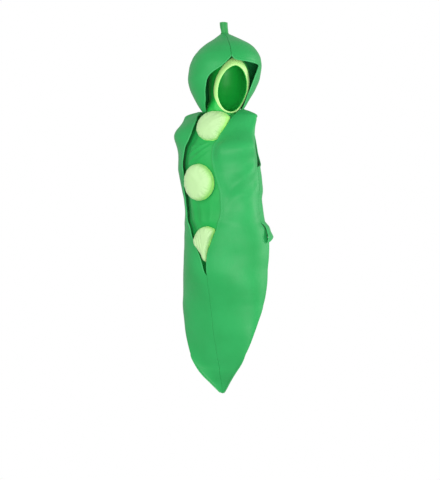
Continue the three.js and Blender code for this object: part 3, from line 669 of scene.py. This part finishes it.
def hood_half(name, sign, columns=110):
    """Half of the hood, from its front edge and the seam above it to the seam down the back."""
    table = HOOD_LEFT_EDGE if sign > 0 else HOOD_RIGHT_EDGE
    height = np.concatenate([np.linspace(low, top, count)[:-1] for low, top, count in HOOD_ROWS]
                            + [[HOOD_TOP]])
    front = sign * np.where(height < FRONT_PEAK, straight(table, height), straight(HOOD_SEAM, height))
    front[2:-2] = np.convolve(front, np.ones(5) / 5, "valid")
    size = along(HOOD, height)
    front = front + np.degrees(SEAM_GAP / size[:, 1])
    back = 180 - np.degrees(SEAM_GAP / size[:, 1])
    length = np.radians(back - front) * (size[:, 1] + size[:, 2]) / 2
    share = spaced(length, columns) / length[:, None]
    angle = front[:, None] + share * (back - front)[:, None]
    high = np.broadcast_to(height[:, None], angle.shape)
    opening = height < FRONT_PEAK + 6
    across, line = np.radians(angle) * HOOD_ROUND, np.radians(front[opening]) * HOOD_ROUND
    apart = to_line(across, high, line, height[opening])
    if sign < 0:
        angle, share, apart = -angle[:, ::-1], share[:, ::-1], apart[:, ::-1]
    grid = on_hood(HOOD, angle, high)
    down = sum(most * bell(angle, middle, width) for middle, width, most in HEM_DIPS)
    grid[..., 2] -= down * smooth(HOOD_HEM + HEM_DIP_FADE, HOOD_HEM, high)
    free = np.minimum(share, 1 - share) * length[:, None]
    wave = 0.8 * soft_waves(angle * 2.2, high) * smooth(0, 30, free)
    wave = wave * smooth(HOOD_TOP, HOOD_TOP - 40, high) * smooth(0, 20, apart)
    return sheet(name, grid, FABRIC, apart, wave, apart)


class Wire:
    """A shader value. Python's operators join it to numbers and other wires with Math nodes."""

    def __init__(self, tree, socket):
        self.tree, self.socket = tree, socket

    def node(self, kind, inputs=(), output=0, **settings):
        """Any node: its type, its settings, and what goes into its inputs by name or number."""
        made = self.tree.nodes.new(kind)
        for key, value in settings.items():
            setattr(made, key, value)
        for key, value in dict(inputs).items():
            if isinstance(value, Wire):
                self.tree.links.new(value.socket, made.inputs[key])
            else:
                made.inputs[key].default_value = value
        return Wire(self.tree, made.outputs[output])

    def math(self, operation, *values):
        return self.node("ShaderNodeMath", dict(enumerate(values)), operation=operation)

    def __add__(self, other):
        return self.math("ADD", self, other)

    def __radd__(self, other):
        return self.math("ADD", other, self)

    def __sub__(self, other):
        return self.math("SUBTRACT", self, other)

    def __rsub__(self, other):
        return self.math("SUBTRACT", other, self)

    def __mul__(self, other):
        return self.math("MULTIPLY", self, other)

    def __rmul__(self, other):
        return self.math("MULTIPLY", other, self)

    def wave(self, length):
        """Between -1 and 1 and back over each length."""
        return self.math("SINE", self * (2 * math.pi / length))

    def parts(self):
        """A place's three coordinates."""
        apart = self.node("ShaderNodeSeparateXYZ", {0: self})
        return [Wire(self.tree, socket) for socket in apart.socket.node.outputs]

    def fact(self, name):
        """A number that the mesh holds at each point."""
        return self.node("ShaderNodeAttribute", output=2, attribute_name=name)

    def place(self):
        """The place on the piece, in metres."""
        return self.node("ShaderNodeTexCoord", output=3)

    def bump(self, height, strength):
        """The surface's direction with a height in metres on it."""
        return self.node("ShaderNodeBump", {"Height": height, "Strength": strength, "Distance": 1.0})

    def between(self, low, high, start=0.0, end=1.0):
        """A smooth step from start at low to end at high."""
        return self.node("ShaderNodeMapRange", {0: self, 1: low, 2: high, 3: start, 4: end},
                         interpolation_type="SMOOTHSTEP")

    def noise(self, scale, detail=2.0, rough=0.5):
        """Noise over this vector, about 0.5."""
        inputs = {"Vector": self, "Scale": scale, "Detail": detail, "Roughness": rough}
        return self.node("ShaderNodeTexNoise", inputs)

    def mix(self, first, second):
        """Between two colours by this factor."""
        made = self.tree.nodes.new("ShaderNodeMix")
        made.data_type = "RGBA"
        for key, value in ((0, self), (6, first), (7, second)):
            if isinstance(value, Wire):
                self.tree.links.new(value.socket, made.inputs[key])
            else:
                made.inputs[key].default_value = (*value, 1.0)
        return Wire(self.tree, made.outputs[2])


def linear(red, green, blue):
    """A colour on the screen's 0 to 255 scale as the shader's linear one."""
    return tuple(((c / 255 + 0.055) / 1.055) ** 2.4 for c in (red, green, blue))


def new_material(name):
    """A material and its main shader."""
    material = bpy.data.materials.new(name)
    material.use_nodes = True
    return material, next(n for n in material.node_tree.nodes if n.type == "BSDF_PRINCIPLED")


def finish_of(name, build, **fixed):
    """A material: build gets a Wire to start from and says what feeds the main shader's inputs."""
    material, shader = new_material(name)
    for key, value in fixed.items():
        shader.inputs[key.replace("_", " ")].default_value = value
    for key, value in build(Wire(material.node_tree, shader.outputs[0])).items():
        material.node_tree.links.new(value.socket, shader.inputs[key])
    return material


def knit(across, up, wale, course, deep):
    """The fine columns and rows of a knit, as a height."""
    return (across.wave(wale) + up.wave(course)) * (deep / 2)


def level_knit(place, size):
    """The knit of a piece that has no flat coordinates: its rows lie level."""
    x, y, z = place.parts()
    return knit(x + y * 0.6, z, **size)


def pod_cloth(dark, light, painted_hem_highlight):
    """Foam-backed knit: cloudy green with a hem's stitches, a painted highlight along a hem's edge and
    painted shade on the inside faces.
    """
    def build(start):
        place = start.place()
        hem, run, inside = start.fact("hem"), start.fact("run"), start.fact("inside")
        tone = (place.noise(7.0, 3.0) - 0.5) * 1.1 + (place.noise(900.0, 2.0) - 0.5) * 0.35 + 0.5
        # Painted highlight: within 5 mm of a hem the green is mixed up to a third of the way towards a
        # paler one, as where a turned edge catches the light.
        colour = (hem.between(5.0, 0.5) * 0.35).mix(tone.mix(dark, light), painted_hem_highlight)
        line = hem.between(STITCH_IN - 0.8, STITCH_IN - 0.2) * hem.between(STITCH_IN + 0.9, STITCH_IN + 0.3)
        stitch = run.wave(STITCH_LENGTH).between(-0.2, 0.3) * line
        colour = (stitch * 0.45).mix(colour, dark)
        # Painted shade: the inside faces are mixed a little towards a darker green, as the inside of the
        # cloth lies in shade.
        colour = (inside * 0.12).mix(colour, tuple(c * 0.6 for c in dark))
        across, up, _ = start.node("ShaderNodeUVMap", uv_map="cloth").parts()
        height = knit(across, up, **POD_KNIT) + place.noise(60.0, 3.0) * 0.0006 - stitch * 0.0003
        rough = 0.46 + (place.noise(25.0) - 0.5) * 0.16
        return {"Base Color": colour, "Roughness": rough, "Normal": start.bump(height, 0.55)}
    return build


def pea_cloth(pale, full):
    """Brushed stretch knit that is paler over the stuffing and fuller green round the rim."""
    def build(start):
        place = start.place()
        blush = start.fact("rim").between(0.8, 1.17) + (place.noise(22.0, 3.0) - 0.5) * 0.3
        height = place.noise(26.0, 4.0, 0.6) * 0.0016 + level_knit(place, PEA_KNIT)
        rough = 0.55 + (place.noise(40.0) - 0.5) * 0.1
        return {"Base Color": blush.mix(pale, full), "Roughness": rough, "Normal": start.bump(height, 0.6)}
    return build


def plain_cloth(dark, light, wrinkle=0.0008):
    """Stretch knit of one colour, a little cloudy."""
    def build(start):
        place = start.place()
        tone = (place.noise(9.0, 3.0) - 0.5) * 1.2 + (place.noise(800.0) - 0.5) * 0.3 + 0.5
        height = place.noise(34.0, 3.0) * wrinkle + level_knit(place, PLAIN_KNIT)
        rough = 0.5 + (place.noise(30.0) - 0.5) * 0.14
        return {"Base Color": tone.mix(dark, light), "Roughness": rough, "Normal": start.bump(height, 0.6)}
    return build


# The pod's third colour is the painted highlight along the hems.
pod = finish_of("pod_foam_knit", pod_cloth(linear(27, 145, 69), linear(43, 169, 90), linear(84, 196, 122)),
                Sheen_Weight=0.06, Sheen_Roughness=0.4, Specular_IOR_Level=0.3)
chest = finish_of("chest_stretch_knit", plain_cloth(linear(18, 147, 61), linear(33, 170, 82)),
                  Sheen_Weight=0.05, Sheen_Roughness=0.4, Specular_IOR_Level=0.3)
lime = finish_of("pea_stretch_knit", pea_cloth(linear(178, 216, 153), linear(156, 234, 106)),
                 Sheen_Weight=0.25, Sheen_Roughness=0.4)
# The coif's greens are far brighter than its cloth: painted light, which makes up for the light that the
# hood keeps off it.
coif_cloth = finish_of("coif_knit_painted_light", plain_cloth(linear(14, 168, 54), linear(24, 190, 72)),
                        Sheen_Weight=0.05, Sheen_Roughness=0.4)
band = finish_of("face_band_binding", plain_cloth(linear(182, 244, 136), linear(202, 252, 162), 0.0003),
                 Sheen_Weight=0.2, Sheen_Roughness=0.4)
stalk_cloth = finish_of("stalk_knit", plain_cloth(linear(14, 134, 54), linear(27, 153, 71)),
                        Sheen_Weight=0.15, Sheen_Roughness=0.4)


def put(piece, node, finish):
    """The piece stands for its CAD node, wears its finish and rides with the part."""
    piece.data.materials.append(finish)
    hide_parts(node)
    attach(piece, "root")
    return piece


put(front_half("front_left_cloth", 1), "tunic_front_left", pod)
put(front_half("front_right_cloth", -1), "tunic_front_right", pod)
put(back_panel("back_cloth"), "tunic_back", pod)
put(chest_panel("chest_cloth"), "chest_panel", chest)
for node, size in PEAS.items():
    cushion = pea(node + "_cushion", creases=PEA_CREASES[node], **size)
    put(cushion, node, lime)
put(hood_half("hood_left_cloth", 1), "hood_left", pod)
put(hood_half("hood_right_cloth", -1), "hood_right", pod)
put(stalk("stalk_roll"), "hood_stalk", stalk_cloth)
put(coif("coif_cloth"), "coif", coif_cloth)
put(face_band("face_band_roll"), "face_band", band)


def studio():
    """A white floor and dome that only the camera sees, so that the costume is lit softly all round."""
    floor = bpy.data.meshes.new("studio_floor")
    turn = np.linspace(0, 2 * np.pi, FLOOR_SIDES, endpoint=False)
    level = np.full(FLOOR_SIDES, (FLOOR - NECK_HEIGHT) / 1000)
    ring = np.stack([FLOOR_RADIUS * np.cos(turn), FLOOR_RADIUS * np.sin(turn), level], -1)
    floor.from_pydata(ring.tolist(), [], [list(range(FLOOR_SIDES))])
    ground = bpy.data.objects.new("studio_floor", floor)
    bpy.ops.mesh.primitive_uv_sphere_add(segments=64, ring_count=32, radius=DOME_RADIUS)
    dome = bpy.context.object
    dome.name = "studio_dome"
    bpy.context.scene.collection.objects.link(ground)
    for thing in (ground, dome):
        material, shader = new_material(thing.name)
        for key, value in WHITE_GLOW.items():
            shader.inputs[key].default_value = value
        thing.data.materials.append(material)
        thing.visible_diffuse = thing.visible_glossy = thing.visible_transmission = False
    dome.visible_shadow = dome.visible_volume_scatter = False
    world = bpy.data.worlds.new("studio")
    world.use_nodes = True
    background = world.node_tree.nodes["Background"].inputs
    background[0].default_value, background[1].default_value = (1, 1, 1, 1), WORLD_LIGHT
    bpy.context.scene.world = world


def lamp(name, aside, elevation, distance, power, wide, tall):
    """A softbox that looks at the middle of the costume, from aside of the camera."""
    light = bpy.data.lights.new(name, "AREA")
    light.shape, light.size, light.size_y, light.energy = "RECTANGLE", wide, tall, power
    lit = bpy.data.objects.new(name, light)
    turn, rise = math.radians(CAMERA["azimuth"] + aside), math.radians(elevation)
    way = np.array([math.sin(turn) * math.cos(rise), -math.cos(turn) * math.cos(rise), math.sin(rise)])
    lit.location = distance * way + (0, 0, LIT_MIDDLE)
    lit.rotation_euler = (math.pi / 2 - rise, 0, turn)
    bpy.context.scene.collection.objects.link(lit)


def camera():
    """Level, at the photograph's turn and distance, a little aside of the costume's middle."""
    eye = bpy.data.objects.new("camera", bpy.data.cameras.new("camera"))
    turn, far = math.radians(CAMERA["azimuth"]), CAMERA["distance"] / 1000
    aside, height = CAMERA["aside"] / 1000, (CAMERA["height"] - NECK_HEIGHT) / 1000
    eye.location = (aside * math.cos(turn) + far * math.sin(turn),
                    aside * math.sin(turn) - far * math.cos(turn), height)
    eye.rotation_euler = (math.pi / 2, 0, turn)
    eye.data.sensor_fit, eye.data.sensor_height = "VERTICAL", SENSOR
    eye.data.lens = SENSOR * far / (CAMERA["tall"] / 1000)
    bpy.context.scene.collection.objects.link(eye)
    bpy.context.scene.camera = eye


studio()
for softbox, setting in LAMPS.items():
    lamp(softbox, *setting)
camera()
bpy.context.scene.view_settings.view_transform = "Standard"
